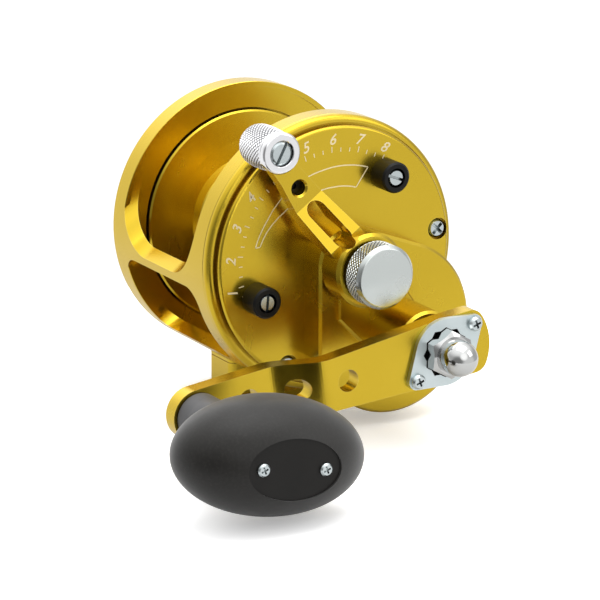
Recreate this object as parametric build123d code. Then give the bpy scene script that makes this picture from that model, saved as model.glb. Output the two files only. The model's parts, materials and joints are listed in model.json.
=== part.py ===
from build123d import *

import os
from math import acos, cos, degrees, pi, radians, sin, sqrt, tan

# Lever drag trolling reel. Millimetres. Origin at the middle of the foot's underside,
# +X towards the handle side, +Y towards the rod tip, +Z up.

# ---- axes of the turning parts -------------------------------------------------------
AXIS_Z = 47.0                  # spool axis height above the reel seat
GEAR_MODULE = 0.6
PINION_TEETH = 16
GEAR_TEETH = 64
PRESSURE_ANGLE = 25.0
GEAR_BACKLASH = 0.10           # taken off each tooth's thickness at the pitch circle
CENTRE_DISTANCE = GEAR_MODULE * (PINION_TEETH + GEAR_TEETH) / 2
HANDLE_Y = 13.3                # handle shaft ahead of the spool axis
HANDLE_DROP = sqrt(CENTRE_DISTANCE**2 - HANDLE_Y**2)
HANDLE_Z = AXIS_Z - HANDLE_DROP

# ---- frame -----------------------------------------------------------------------------
RIM_R = 38.0                   # side plates' outer radius
RIM_CHAMFER = 0.7
LEFT_OUT_X = -25.6
LEFT_IN_X = -19.7
LEFT_ROUND = 0.7
LIP_X = -19.1                  # raised lip round the left plate's inner face
LIP_IN_R = 36.6
LEFT_BOSS_X = -27.0
LEFT_BOSS_R = 11.8
RECESS_FLOOR_X = -22.6         # spool recess in the left plate
RECESS_R = 30.6
RING_IN_X = 21.6
RING_OUT_X = 25.7              # face the side plate sits on
PARTING_X = 27.35              # visible joint between frame and side plate
SPIGOT_R = 35.6                # side plate's spigot inside the frame's band
PARTING_EDGE = 0.15
SHELL_IN_R = 34.4
CROSSBAR_SLOPE = 35.5          # degrees the crossbars' top faces fall away outwards
CROSSBAR_OFFSET = 17.9         # distance of those faces from the spool axis
TOP_WINDOW_CORNER = 13.0
TOP_WINDOW_HEIGHT = 60.0
TOP_CLEAR_HALF_Y = 25.0        # block that clears the crown between both sloping cuts
TOP_CLEAR_Z = 22.0
LOWER_WINDOW_ANGLE = 30.0      # below the horizontal, front and rear
LOWER_WINDOW_HALF = 12.4
LOWER_WINDOW_CORNER = 5.5
PEDESTAL_HALF_X = 6.5
PEDESTAL_HALF_Y = 18.3
PEDESTAL_CORNER = 2.0
PEDESTAL_LINE_Z = 12.5         # fine groove round the pedestal
PEDESTAL_LINE_W = 0.35
PEDESTAL_LINE_DEPTH = 0.25
CAP_BORE_R = 7.5

# ---- foot ------------------------------------------------------------------------------
FOOT_HALF_X = 8.5
FOOT_HALF_Y = 28.0
FOOT_T = 3.0
FOOT_TIP_T = 1.6
FOOT_FLAT_HALF_Y = 19.5
FOOT_CORNER = 4.0
FOOT_SCREW_X = 3.4
FOOT_SCREW_Y = 13.0
FOOT_SCREW_R = 1.5
FOOT_SCREW_HEAD_R = 2.8
FOOT_SCREW_HEAD_T = 1.6
FOOT_SCREW_SINK = 0.3
FOOT_SCREW_LENGTH = 9.5
FOOT_SCREW_CROSS = (3.2, 0.8, 1.4)

# ---- right side plate --------------------------------------------------------------------
COVER_X = 29.7                 # front of the side plate's rounded rim
RIM_ROUND = 1.7
DISC_X = 32.0                  # face of the raised disc
DISC_R = 35.5
DISC_ROUND = 0.9
GROOVE_R = 36.15               # outer wall of the groove round the disc
GROOVE_FLOOR_X = 28.8
HOUSING_X = 40.5               # front of the gear housing
HOUSING_LOBE_R = 23.8
HOUSING_HUB_R = 9.7
HOUSING_CHAMFER = 0.7
TIER_X = 42.0                  # web joining the hub and the handle boss
TIER_CHAMFER = 0.5
BOSS_R = 8.9
BOSS_X = 58.0
BOSS_CHAMFER = 0.7
POCKET_X = 27.7                # floor of the pocket for the bridge plate
BRIDGE_R = 30.6
BRIDGE_LOBE_R = 21.6
CAVITY_R = 20.9
CAVITY_X = 37.6
HUB_CAVITY_R = 7.0
HUB_CAVITY_X = 39.2
CAM_BOSS_R = 5.9
CAM_BOSS_X = 46.0
SHAFT_HOLE_R = 3.4
HANDLE_BORE_R = 5.0
PLATE_SCREW_R = 32.3           # pitch radius of the two plate screws
PLATE_SCREW_ANGLES = (6.0, 243.0)
PLATE_SCREW_HEAD_R = 2.6
PLATE_SCREW_HEAD_T = 2.0
PLATE_SCREW_POCKET_R = 3.05
PLATE_SCREW_POCKET_DEPTH = 2.2
SCREW_R = 1.5                  # shank of the M3 screws
HEAD_CROWN = 0.22              # part of a head's radius taken up by its rounded edge
HANDLE_BEARING_R = 7.2
HANDLE_BEARING_X = (51.9, 57.2)
HANDLE_INNER_BEARING_R = 5.5
PINION_BEARING_R = 9.0
BRIDGE_CLEAR = 0.15            # gap round the bridge plate in its pocket
BRIDGE_BOSS_R = 10.6
BRIDGE_BOSS_LEFT_X = 24.0
BRIDGE_SCREW_AT = ((-26.5, 6.0), (-18.0, -21.5), (4.0, 27.0), (24.5, 13.0))

# ---- spool and main shaft ------------------------------------------------------------------
SHAFT_R = 3.0
SHAFT_LEFT_X = -26.0
SHAFT_RIGHT_X = 55.4
EDGE = 0.45                    # small edge break on turned parts
RUNNING_FIT = 0.05
SPOOL_R = 30.0
ARBOR_R = 14.5
SPOOL_BORE_R = 5.2
SPOOL_BEARING_R = 6.5
SPOOL_BEARING_W = 5.0
SPOOL_LEFT_X = -22.0
SPOOL_HUB_LEFT_X = -20.2
SPOOL_RIM_LEFT_R = 26.0
SPOOL_RIGHT_X = 20.4
WASHER_R = 27.8
WASHER_IN_R = 14.0
WASHER_LEFT_X = 19.4
WASHER_RIGHT_X = 21.2
DRAG_PLATE_LEFT_X = 21.5
DRAG_PLATE_RIGHT_X = 23.3
DRAG_PLATE_R = 28.2

# ---- gears, ratchet, dogs ----------------------------------------------------------------------
PINION_SLEEVE_R = 5.0
PINION_RIGHT_X = 39.0
PINION_JOURNAL_R = 3.9
PINION_TEETH_X = (31.8, 37.0)
PINION_BORE_R = 3.1
GEAR_X = (32.4, 36.4)
RATCHET_X = (28.6, 30.8)
RATCHET_R = 9.0
RATCHET_ROOT_R = 7.6
RATCHET_TEETH = 14
DOG_PIVOT_R = 15.5             # dog posts' distance from the handle axis
DOG_ANGLES = (70.0, 290.0)
DOG_POST_R = 1.5

# ---- handle ----------------------------------------------------------------------------------
HANDLE_SHAFT_R = 4.0
HANDLE_JOURNAL_R = 3.0
HANDLE_FLAT = 3.2              # half width across the shaft's flats
ARM_ANGLE = 187.7
ARM_LENGTH = 69.9
ARM_BACK_X = 61.2
ARM_T = 4.6
ARM_DROP = 7.4                 # inward crank past the drag knob
ARM_BEND_START = 33.8
ARM_BEND_END = 48.8
ARM_CORNER = 4.0
ARM_HUB_HALF = 8.8
ARM_NECK_HALF = 7.2
ARM_TIP_R = 7.1
ARM_END_R = 14.5
ARM_HOLE_R = 3.0
ARM_HOLES = (29.2, 42.0, 54.9)
BEND_STEPS = 24                # short flats that make up the crank's smooth curve
LOCK_ANGLE = 37.6
LOCK_SCREW_OFFSET = 11.0
LOCK_T = 1.4
LOCK_R = 9.2
LOCK_TIP_R = 2.45
LOCK_HOLE_R = 6.9
NUT_FLATS = 11.5
NUT_HEX_T = 5.4
NUT_DOME_R = 4.8
NUT_DOME_X = 74.2
NUT_BORE_R = 2.6
NUT_THREAD_LENGTH = 7.0
WASHER_SEAT_R = 7.0            # recess in the arm for the nut's washer
WASHER_SEAT_DEPTH = 0.5

# ---- handle knob -----------------------------------------------------------------------------
SPINDLE_R = 3.0
SPINDLE_END_X = 105.4
CLIP_X = (104.0, 104.8)
NECK_X = 58.6
NECK_R = 6.4
NECK_END_X = 88.0
KNOB_X = 95.0
KNOB_HALF = (16.4, 26.4, 15.4)
KNOB_TILT = -8.5
KNOB_COVER_HALF = (13.2, 8.0)
KNOB_COVER_X = (106.6, 108.6)
KNOB_SCREW_OFFSET = 8.9
KNOB_BEARING_R = 5.5
KNOB_BEARING_X = ((60.2, 64.6), (99.0, 103.4))

# ---- drag lever ------------------------------------------------------------------------------
LEVER_ANGLE = 125.9
LEVER_HUB_R = 10.2
LEVER_BORE_R = 6.0
LEVER_BOTTOM_X = 36.8
LEVER_HUB_BOTTOM_X = 42.4
LEVER_TOP_X = 41.0
LEVER_RAMP_TOP_X = 47.9
LEVER_HUB_TOP_X = 50.6
LEVER_STEP_R = 22.7
LEVER_RAMP_R = 10.6
LEVER_TIP_AT = 41.7
LEVER_TIP_R = 3.4
LEVER_HOLE_AT = 27.7
LEVER_HOLE_R = 2.0
LEVER_HOLE_SINK = 0.5          # countersink at the hole's mouth
LEVER_SLOT = (13.5, 5.2)
LEVER_SLOT_AT = 15.8
LEVER_KNOB_X = (31.6, 46.4)
LEVER_KNOB_R = 5.8
LEVER_KNOB_RING_R = 5.6
LEVER_KNOB_SCREW_R = 3.3
LEVER_KNOB_SINK = 1.4          # depth of the screw's recess in the knob
PRESET_X = (51.8, 58.8)
PRESET_R = 8.7

# ---- bumpers that stop the lever -------------------------------------------------------------
BUMPER_AT = 25.8
BUMPER_ANGLES = (54.1, 199.3)
BUMPER_SLOTS = (-21.0, 85.0)   # way the screws' slots happen to point
BUMPER_R = 4.25
BUMPER_X = 38.4
BUMPER_CHAMFER = 0.5
BUMPER_HEAD_R = 2.5
BUMPER_HEAD_T = 1.9

# ---- clicker ---------------------------------------------------------------------------------
CLICK_ANGLE = 205.0
CLICK_WHEEL_R = 16.0
CLICK_TEETH = 24
CLICK_SLOT_AT = 19.6
CLICK_SLOT = (6.8, 3.2)
CLICK_STEM_AT = 20.3


# ---- helpers ------------------------------------------------------------------------------
def rod(radius, x0, x1, y=0.0, z=AXIS_Z):
    """Solid cylinder along X."""
    return Pos((x0 + x1) / 2, y, z) * Rot(0, 90, 0) * Cylinder(radius, x1 - x0)


def tube(outer, inner, x0, x1, y=0.0, z=AXIS_Z):
    """Ring along X."""
    return rod(outer, x0, x1, y, z) - rod(inner, x0 - 1, x1 + 1, y, z)


def along_x(sketch, x0, x1, y=0.0, z=AXIS_Z):
    """Sketch in the (Y, Z) plane extruded from x0 to x1."""
    return Pos(x0, y, z) * extrude(Plane.YZ * sketch, amount=x1 - x0)


def turned(points, y=0.0, z=AXIS_Z, rounds=()):
    """Solid of revolution about the X axis from (x, radius) points, chosen corners rounded."""
    face = make_face(Polyline(*points, close=True))
    for corner, radius in rounds:
        nearest = face.vertices().sort_by_distance((*corner, 0))[0]
        face = fillet(nearest, radius)
    return Pos(0, y, z) * revolve(Plane.XZ * face, axis=Axis.X)


def polar(radius, angle, y=0.0, z=AXIS_Z):
    """(Y, Z) of a point at a radius and an angle from +Y."""
    return y + radius * cos(radians(angle)), z + radius * sin(radians(angle))


def hull_outline(r1, c1, r2, c2):
    """Outline of two circles joined by their outer tangents."""
    return make_hull((Pos(*c1) * Circle(r1)).edges() + (Pos(*c2) * Circle(r2)).edges())


def bearing(outer, inner, x0, x1, y=0.0, z=AXIS_Z):
    """Shielded ball bearing drawn as two races with a recessed shield between them."""
    race = (outer - inner) * 0.24
    recess = 0.25
    rings = tube(outer, outer - race, x0, x1, y, z) + tube(inner + race, inner, x0, x1, y, z)
    return rings + tube(outer - race, inner + race, x0 + recess, x1 - recess, y, z)


def involute_gear(teeth, phase):
    """Gear outline with involute flanks, first tooth centred at the phase angle."""
    pitch_r = GEAR_MODULE * teeth / 2
    base_r = pitch_r * cos(radians(PRESSURE_ANGLE))
    tip_r = pitch_r + 0.95 * GEAR_MODULE
    root_r = pitch_r - 1.25 * GEAR_MODULE

    def inv(angle):
        return tan(angle) - angle

    half_pitch = (pi * GEAR_MODULE / 2 - GEAR_BACKLASH) / 2 / pitch_r
    start_r = max(base_r, root_r)
    flank = []
    steps = 4
    for i in range(steps + 1):
        r = start_r + (tip_r - start_r) * i / steps
        half = half_pitch + inv(radians(PRESSURE_ANGLE)) - inv(acos(min(1.0, base_r / r)))
        flank.append((r, half))
    points = []
    for tooth in range(teeth):
        middle = radians(phase) + 2 * pi * tooth / teeth
        root_half = flank[0][1]
        points.append((root_r, middle - root_half))
        points += [(r, middle - half) for r, half in flank]
        points += [(r, middle + half) for r, half in reversed(flank)]
        points.append((root_r, middle + root_half))
    unique = []
    for r, angle in points:
        point = (r * cos(angle), r * sin(angle))
        if not unique or abs(point[0] - unique[-1][0]) + abs(point[1] - unique[-1][1]) > 1e-4:
            unique.append(point)
    return make_face(Polyline(*unique, close=True))


def saw_wheel(outer, root, teeth):
    """Ratchet outline with one steep and one sloping side to each tooth."""
    points = []
    for tooth in range(teeth):
        angle = 2 * pi * tooth / teeth
        points.append((outer * cos(angle), outer * sin(angle)))
        points.append((root * cos(angle + 0.04), root * sin(angle + 0.04)))
    return make_face(Polyline(*points, close=True))


def pan_head(radius, height, x0, y, z):
    """Rounded screw head sitting on x0."""
    crown = radius * HEAD_CROWN
    top = x0 + height
    profile = [(x0, 0), (x0, radius), (x0 + height * 0.6, radius), (top, radius - crown), (top, 0)]
    return turned(profile, y, z)


def cross_slot(radius, depth, x_top, y, z, angle=45.0):
    """Cutter for a cross recess in a screw head."""
    bar = Box(2 * depth, 2 * radius, radius * 0.5)
    return Pos(x_top, y, z) * Rot(angle, 0, 0) * (bar + Rot(90, 0, 0) * bar)


def blade_slot(radius, depth, width, x_top, y, z, angle):
    """Cutter for a straight screwdriver slot."""
    return Pos(x_top, y, z) * Rot(angle, 0, 0) * Box(2 * depth, 2 * radius + 1, width)


def put(name, *shapes):
    """Write one node, a single solid or a group of solids."""
    solids = []
    for shape in shapes:
        solids += list(shape.solids())
    part = solids[0] if len(solids) == 1 else Compound(children=solids)
    part.label = name
    export_step(part, f"parts/{name}.step")


# ---- frame: both plates, crossbars and foot pedestal in one piece ----------------------------
gear_c = (HANDLE_Y, -HANDLE_DROP)
housing_outline = hull_outline(HOUSING_HUB_R, (0, 0), HOUSING_LOBE_R, gear_c)
housing_outline = housing_outline & (Pos(-HOUSING_HUB_R + 50, -20) * Rectangle(100, 120))

left_plate = turned([
    (RECESS_FLOOR_X, CAP_BORE_R), (LEFT_BOSS_X, CAP_BORE_R), (LEFT_BOSS_X, LEFT_BOSS_R - RIM_CHAMFER),
    (LEFT_BOSS_X + RIM_CHAMFER, LEFT_BOSS_R), (LEFT_OUT_X, LEFT_BOSS_R), (LEFT_OUT_X, RIM_R),
    (LIP_X - PARTING_EDGE, RIM_R), (LIP_X, RIM_R - PARTING_EDGE), (LIP_X, LIP_IN_R), (LEFT_IN_X, LIP_IN_R),
    (LEFT_IN_X, RECESS_R), (RECESS_FLOOR_X, RECESS_R)], rounds=(((LEFT_OUT_X, RIM_R), LEFT_ROUND),))
right_ring = turned([
    (RING_IN_X, RECESS_R), (RING_OUT_X, RECESS_R), (RING_OUT_X, SPIGOT_R), (PARTING_X, SPIGOT_R),
    (PARTING_X, RIM_R - PARTING_EDGE), (PARTING_X - PARTING_EDGE, RIM_R),
    (RING_IN_X + RIM_CHAMFER, RIM_R), (RING_IN_X, RIM_R - RIM_CHAMFER)])
shell = tube(RIM_R, SHELL_IN_R, LEFT_IN_X - 1.5, RING_IN_X + 1.5)
window_mid_x = (LEFT_IN_X + RING_IN_X) / 2
window_width = RING_IN_X - LEFT_IN_X
slope = radians(CROSSBAR_SLOPE)
slope_plane = Plane(origin=(window_mid_x, 0, AXIS_Z), x_dir=(1, 0, 0), z_dir=(0, cos(slope), -sin(slope)))
top_outline = RectangleRounded(window_width, TOP_WINDOW_HEIGHT, TOP_WINDOW_CORNER)
top_outline = Pos(0, -CROSSBAR_OFFSET - TOP_WINDOW_HEIGHT / 2) * top_outline
top_window = extrude(slope_plane * top_outline, amount=2 * RIM_R, both=True)
shell -= top_window
shell -= mirror(top_window, about=Plane.XZ)
shell -= Pos(window_mid_x, 0, AXIS_Z + TOP_CLEAR_Z) * Box(
    window_width, 2 * TOP_CLEAR_HALF_Y, RIM_R, align=(Align.CENTER, Align.CENTER, Align.MIN))
lower_window = extrude(
    Plane.XY * RectangleRounded(window_width, 2 * LOWER_WINDOW_HALF, LOWER_WINDOW_CORNER), amount=2 * RIM_R)
for side in (-1, 1):
    tilt = side * (90 + LOWER_WINDOW_ANGLE)
    shell -= Pos(window_mid_x, 0, AXIS_Z) * Rot(-tilt, 0, 0) * lower_window


def pedestal_block(inset, z0, height):
    """Upright block under the frame with rounded corners, drawn in by the inset."""
    plan = RectangleRounded(
        2 * (PEDESTAL_HALF_X - inset), 2 * (PEDESTAL_HALF_Y - inset), PEDESTAL_CORNER - inset)
    return Pos(0, 0, z0) * extrude(plan, amount=height)


pedestal = pedestal_block(0, FOOT_T, AXIS_Z - SHELL_IN_R)
pedestal -= pedestal_block(0, PEDESTAL_LINE_Z, PEDESTAL_LINE_W) - pedestal_block(
    PEDESTAL_LINE_DEPTH, PEDESTAL_LINE_Z, PEDESTAL_LINE_W)
pedestal -= rod(SHELL_IN_R + 1.0, LEFT_IN_X, RING_IN_X)
frame = left_plate + right_ring + shell + pedestal
frame -= along_x(housing_outline, RING_OUT_X, PARTING_X + 1)

foot_screws = []
foot_holes = []
for sx in (-1, 1):
    for sy in (-1, 1):
        x, y = sx * FOOT_SCREW_X, sy * FOOT_SCREW_Y
        cone = Pos(x, y, FOOT_SCREW_SINK) * Cone(
            FOOT_SCREW_HEAD_R, FOOT_SCREW_R, FOOT_SCREW_HEAD_T, align=(Align.CENTER, Align.CENTER, Align.MIN))
        shank = Pos(x, y, FOOT_SCREW_SINK) * Cylinder(
            FOOT_SCREW_R, FOOT_SCREW_LENGTH, align=(Align.CENTER, Align.CENTER, Align.MIN))
        mouth = Pos(x, y, 0) * Cylinder(
            FOOT_SCREW_HEAD_R, FOOT_SCREW_SINK, align=(Align.CENTER, Align.CENTER, Align.MIN))
        foot_holes.append(cone + shank + mouth)
        slot = Pos(x, y, FOOT_SCREW_SINK) * Rot(0, 0, 45)
        bar = Box(*FOOT_SCREW_CROSS)
        foot_screws.append(cone + shank - slot * (bar + Rot(0, 0, 90) * bar))
for hole in foot_holes:
    frame -= hole

# slot through the left plate for the clicker button's stem
click_y, click_z = polar(CLICK_SLOT_AT, CLICK_ANGLE)
click_slot = along_x(
    Rot(0, 0, CLICK_ANGLE) * SlotOverall(*CLICK_SLOT), LEFT_OUT_X - 1, RECESS_FLOOR_X + 1, click_y, click_z)
frame -= click_slot

# threaded holes for the two side plate screws
for angle in PLATE_SCREW_ANGLES:
    y, z = polar(PLATE_SCREW_R, angle)
    frame -= rod(SCREW_R, RING_IN_X - 1, RING_OUT_X + 1, y, z)
put("frame", frame)

# ---- foot ------------------------------------------------------------------------------------
foot_side = Polyline(
    (-FOOT_HALF_Y, 0), (FOOT_HALF_Y, 0), (FOOT_HALF_Y, FOOT_TIP_T), (FOOT_FLAT_HALF_Y, FOOT_T),
    (-FOOT_FLAT_HALF_Y, FOOT_T), (-FOOT_HALF_Y, FOOT_TIP_T), close=True)
foot = extrude(Plane.YZ * make_face(foot_side), amount=FOOT_HALF_X, both=True)
foot_plan = extrude(RectangleRounded(2 * FOOT_HALF_X, 2 * FOOT_HALF_Y, FOOT_CORNER), amount=FOOT_T)
foot = foot & foot_plan
for hole in foot_holes:
    foot -= hole
put("reel_foot", foot)
put("foot_screws", *foot_screws)

# ---- right side plate with gear housing ------------------------------------------------------
side_plate = turned([
    (RING_OUT_X, 0), (RING_OUT_X, SPIGOT_R), (PARTING_X, SPIGOT_R), (PARTING_X, RIM_R - PARTING_EDGE),
    (PARTING_X + PARTING_EDGE, RIM_R), (COVER_X, RIM_R), (COVER_X, GROOVE_R), (GROOVE_FLOOR_X, GROOVE_R),
    (GROOVE_FLOOR_X, DISC_R), (DISC_X, DISC_R), (DISC_X, 0)],
    rounds=(((COVER_X, RIM_R), RIM_ROUND), ((DISC_X, DISC_R), DISC_ROUND)))
housing = along_x(housing_outline, RING_OUT_X, HOUSING_X)
housing = chamfer(housing.faces().sort_by(Axis.X)[-1].edges(), HOUSING_CHAMFER)
tier_corner = [(-4.7, -3.0), (-4.5, -15.0), (6.3, -26.2), (22.5, -18.0), (8.5, 2.5)]
tier = along_x(make_face(Polyline(*tier_corner, close=True)), HOUSING_X - 1, TIER_X)
tier = chamfer(tier.faces().sort_by(Axis.X)[-1].edges(), TIER_CHAMFER)
hub_pad = rod(HOUSING_HUB_R - HOUSING_CHAMFER, HOUSING_X - 1, TIER_X)
boss = turned([
    (HOUSING_X - 1, 0), (HOUSING_X - 1, BOSS_R), (BOSS_X - BOSS_CHAMFER, BOSS_R),
    (BOSS_X, BOSS_R - BOSS_CHAMFER), (BOSS_X, 0)], HANDLE_Y, HANDLE_Z)
side_plate = side_plate + housing + tier + hub_pad + boss + rod(CAM_BOSS_R, HOUSING_X, CAM_BOSS_X)
pocket_outline = Circle(BRIDGE_R) + Pos(*gear_c) * Circle(BRIDGE_LOBE_R)
side_plate -= along_x(pocket_outline, RING_OUT_X - 1, POCKET_X)
side_plate -= rod(CAVITY_R, POCKET_X - 1, CAVITY_X, HANDLE_Y, HANDLE_Z)
side_plate -= rod(HUB_CAVITY_R, POCKET_X - 1, HUB_CAVITY_X)
side_plate -= rod(SHAFT_HOLE_R, HUB_CAVITY_X - 1, CAM_BOSS_X + 1)
side_plate -= rod(HANDLE_BORE_R, CAVITY_X - 1, BOSS_X + 1, HANDLE_Y, HANDLE_Z)
side_plate -= rod(HANDLE_BEARING_R, HANDLE_BEARING_X[0], BOSS_X + 1, HANDLE_Y, HANDLE_Z)

plate_screws = []
for angle in PLATE_SCREW_ANGLES:
    y, z = polar(PLATE_SCREW_R, angle)
    head_x = DISC_X - PLATE_SCREW_POCKET_DEPTH
    side_plate -= rod(PLATE_SCREW_POCKET_R, head_x, DISC_X + 1, y, z)
    side_plate -= rod(SCREW_R, RING_OUT_X - 1, head_x + 1, y, z)
    screw = pan_head(PLATE_SCREW_HEAD_R, PLATE_SCREW_HEAD_T, head_x, y, z)
    screw = screw + rod(SCREW_R, RING_IN_X + 0.4, head_x, y, z)
    plate_screws.append(screw - cross_slot(1.9, 1.6, head_x + PLATE_SCREW_HEAD_T, y, z))

bumpers = []
bumper_screws = []
for angle, slot_angle in zip(BUMPER_ANGLES, BUMPER_SLOTS):
    y, z = polar(BUMPER_AT, angle)
    seat_x = BUMPER_X - BUMPER_HEAD_T - 0.15
    bumper = turned([
        (DISC_X, 0), (DISC_X, BUMPER_R), (BUMPER_X - BUMPER_CHAMFER, BUMPER_R),
        (BUMPER_X, BUMPER_R - BUMPER_CHAMFER), (BUMPER_X, 0)], y, z)
    bumper -= rod(BUMPER_HEAD_R + 0.15, seat_x, BUMPER_X + 1, y, z)
    bumpers.append(bumper - rod(SCREW_R, DISC_X - 1, seat_x + 1, y, z))
    screw = pan_head(BUMPER_HEAD_R, BUMPER_HEAD_T, seat_x, y, z) + rod(SCREW_R, DISC_X - 3.5, seat_x, y, z)
    slot = blade_slot(BUMPER_HEAD_R, 1.3, 0.8, seat_x + BUMPER_HEAD_T, y, z, slot_angle)
    bumper_screws.append(screw - slot)
    side_plate -= rod(SCREW_R, DISC_X - 4.0, DISC_X + 1, y, z)
put("side_plate_screws", *plate_screws)
put("rubber_bumpers", *bumpers)
put("bumper_screws", *bumper_screws)

# ---- bridge plate closing the gear case, with bearing seats and dog posts --------------------
bridge_outline = Circle(BRIDGE_R - BRIDGE_CLEAR) + Pos(*gear_c) * Circle(BRIDGE_LOBE_R - BRIDGE_CLEAR)
bridge = along_x(bridge_outline, RING_OUT_X, POCKET_X) + rod(BRIDGE_BOSS_R, BRIDGE_BOSS_LEFT_X, POCKET_X)
bridge -= rod(PINION_BEARING_R, BRIDGE_BOSS_LEFT_X - 1, POCKET_X + 1)
bridge -= rod(HANDLE_INNER_BEARING_R, RING_OUT_X - 1, POCKET_X + 1, HANDLE_Y, HANDLE_Z)
bridge_screws = []
for y, above in BRIDGE_SCREW_AT:
    z = AXIS_Z + above
    bridge -= rod(1.2, RING_OUT_X - 1, POCKET_X + 1, y, z) + rod(2.1, RING_OUT_X - 1, RING_OUT_X + 1.0, y, z)
    side_plate -= rod(1.2, POCKET_X - 1, POCKET_X + 3.0, y, z)
    head = rod(2.0, RING_OUT_X + 0.1, RING_OUT_X + 1.0, y, z)
    head = head + rod(1.2, RING_OUT_X + 1.0, POCKET_X + 2.8, y, z)
    bridge_screws.append(head - blade_slot(2.0, 0.5, 0.5, RING_OUT_X + 0.1, y, z, 30))
dog_posts = []
for angle in DOG_ANGLES:
    y, z = polar(DOG_PIVOT_R, angle, HANDLE_Y, HANDLE_Z)
    bridge -= rod(DOG_POST_R, RING_OUT_X - 1, POCKET_X + 1, y, z)
    dog_posts.append(rod(DOG_POST_R, RING_OUT_X, 31.4, y, z))
put("side_plate", side_plate)
put("bridge_plate", bridge)
put("bridge_screws", *bridge_screws)
put("dog_posts", *dog_posts)

# ---- bearings held by the frame and the plates -----------------------------------------------
put("pinion_bearings",
    bearing(PINION_BEARING_R, PINION_SLEEVE_R + RUNNING_FIT, BRIDGE_BOSS_LEFT_X + 0.2, POCKET_X),
    bearing(HUB_CAVITY_R, PINION_JOURNAL_R + RUNNING_FIT, PINION_TEETH_X[1] + 0.3, HUB_CAVITY_X))
put("handle_bearings",
    bearing(HANDLE_BEARING_R, HANDLE_SHAFT_R + RUNNING_FIT, *HANDLE_BEARING_X, HANDLE_Y, HANDLE_Z),
    bearing(HANDLE_INNER_BEARING_R, HANDLE_JOURNAL_R + RUNNING_FIT, RING_OUT_X + 0.2, POCKET_X,
            HANDLE_Y, HANDLE_Z))
put("bearing_retainer", tube(HANDLE_BEARING_R, HANDLE_SHAFT_R + 0.4, 57.25, 57.8, HANDLE_Y, HANDLE_Z))

cap_flange_x = -29.6
cap = turned([
    (cap_flange_x, 0), (cap_flange_x, 9.7), (cap_flange_x + 0.6, 10.4), (LEFT_BOSS_X - 0.1, 10.4),
    (LEFT_BOSS_X - 0.1, CAP_BORE_R), (RECESS_FLOOR_X, CAP_BORE_R), (RECESS_FLOOR_X, 4.5),
    (LEFT_BOSS_X, 4.5), (LEFT_BOSS_X, 0)])
cap -= Pos(cap_flange_x, 0, AXIS_Z) * Box(1.6, 13.0, 1.8)
put("left_bearing_cap", cap)
put("shaft_bush", tube(4.5, SHAFT_R + RUNNING_FIT, LEFT_BOSS_X, RECESS_FLOOR_X))

# ---- clicker ---------------------------------------------------------------------------------
out_y, out_z = polar(CLICK_STEM_AT, CLICK_ANGLE)
stem = rod(1.4, LEFT_OUT_X - 1.0, -22.2, out_y, out_z)
button = turned([
    (LEFT_OUT_X - 2.8, 0), (LEFT_OUT_X - 2.8, 2.6), (LEFT_OUT_X - 2.3, 3.3), (LEFT_OUT_X - 0.3, 3.3),
    (LEFT_OUT_X - 0.3, 0)], out_y, out_z)
put("clicker_button", button + stem)
pawl_points = [(18.7, 0), (19.6, 1.3), (22.0, 1.3), (22.0, -1.3), (19.6, -1.3)]
pawl = along_x(Rot(0, 0, CLICK_ANGLE) * make_face(Polyline(*pawl_points, close=True)), -22.2, -21.2)
put("clicker_pawl", pawl)
click_points = []
for tooth in range(CLICK_TEETH):
    for part_step, radius in ((0.0, CLICK_WHEEL_R), (0.5, CLICK_WHEEL_R - 1.2)):
        angle = 2 * pi * (tooth + part_step) / CLICK_TEETH
        click_points.append((radius * cos(angle), radius * sin(angle)))
click_wheel = along_x(make_face(Polyline(*click_points, close=True)) - Circle(10.0), -21.5, SPOOL_HUB_LEFT_X)
put("clicker_wheel", click_wheel)

# ---- spool -----------------------------------------------------------------------------------
spool_left_seat = SPOOL_HUB_LEFT_X + SPOOL_BEARING_W
spool_right_seat = SPOOL_RIGHT_X - SPOOL_BEARING_W
spool = turned([
    (SPOOL_HUB_LEFT_X, SPOOL_BEARING_R), (SPOOL_HUB_LEFT_X, SPOOL_RIM_LEFT_R),
    (SPOOL_LEFT_X, SPOOL_RIM_LEFT_R),
    (SPOOL_LEFT_X, SPOOL_R - EDGE), (SPOOL_LEFT_X + EDGE, SPOOL_R), (-19.1, SPOOL_R), (-18.7, SPOOL_R - EDGE),
    (-17.8, 22.0), (-17.0, 17.4), (-16.2, 15.7), (-14.9, 14.8), (-13.0, ARBOR_R),
    (11.2, ARBOR_R), (13.1, 14.8), (14.4, 15.7), (15.2, 17.4), (16.0, 22.0),
    (16.8, SPOOL_R - EDGE), (17.2, SPOOL_R), (SPOOL_RIGHT_X - EDGE, SPOOL_R), (SPOOL_RIGHT_X, SPOOL_R - EDGE),
    (SPOOL_RIGHT_X, WASHER_R), (WASHER_LEFT_X, WASHER_R), (WASHER_LEFT_X, WASHER_IN_R),
    (SPOOL_RIGHT_X, WASHER_IN_R), (SPOOL_RIGHT_X, SPOOL_BEARING_R), (spool_right_seat, SPOOL_BEARING_R),
    (spool_right_seat, SPOOL_BORE_R), (spool_left_seat, SPOOL_BORE_R), (spool_left_seat, SPOOL_BEARING_R)])
put("spool", spool)
put("spool_bearings",
    bearing(SPOOL_BEARING_R, SHAFT_R + RUNNING_FIT, SPOOL_HUB_LEFT_X, spool_left_seat),
    bearing(SPOOL_BEARING_R, SHAFT_R + RUNNING_FIT, spool_right_seat, SPOOL_RIGHT_X))
put("drag_washer", tube(WASHER_R, WASHER_IN_R, WASHER_LEFT_X, WASHER_RIGHT_X))

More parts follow.
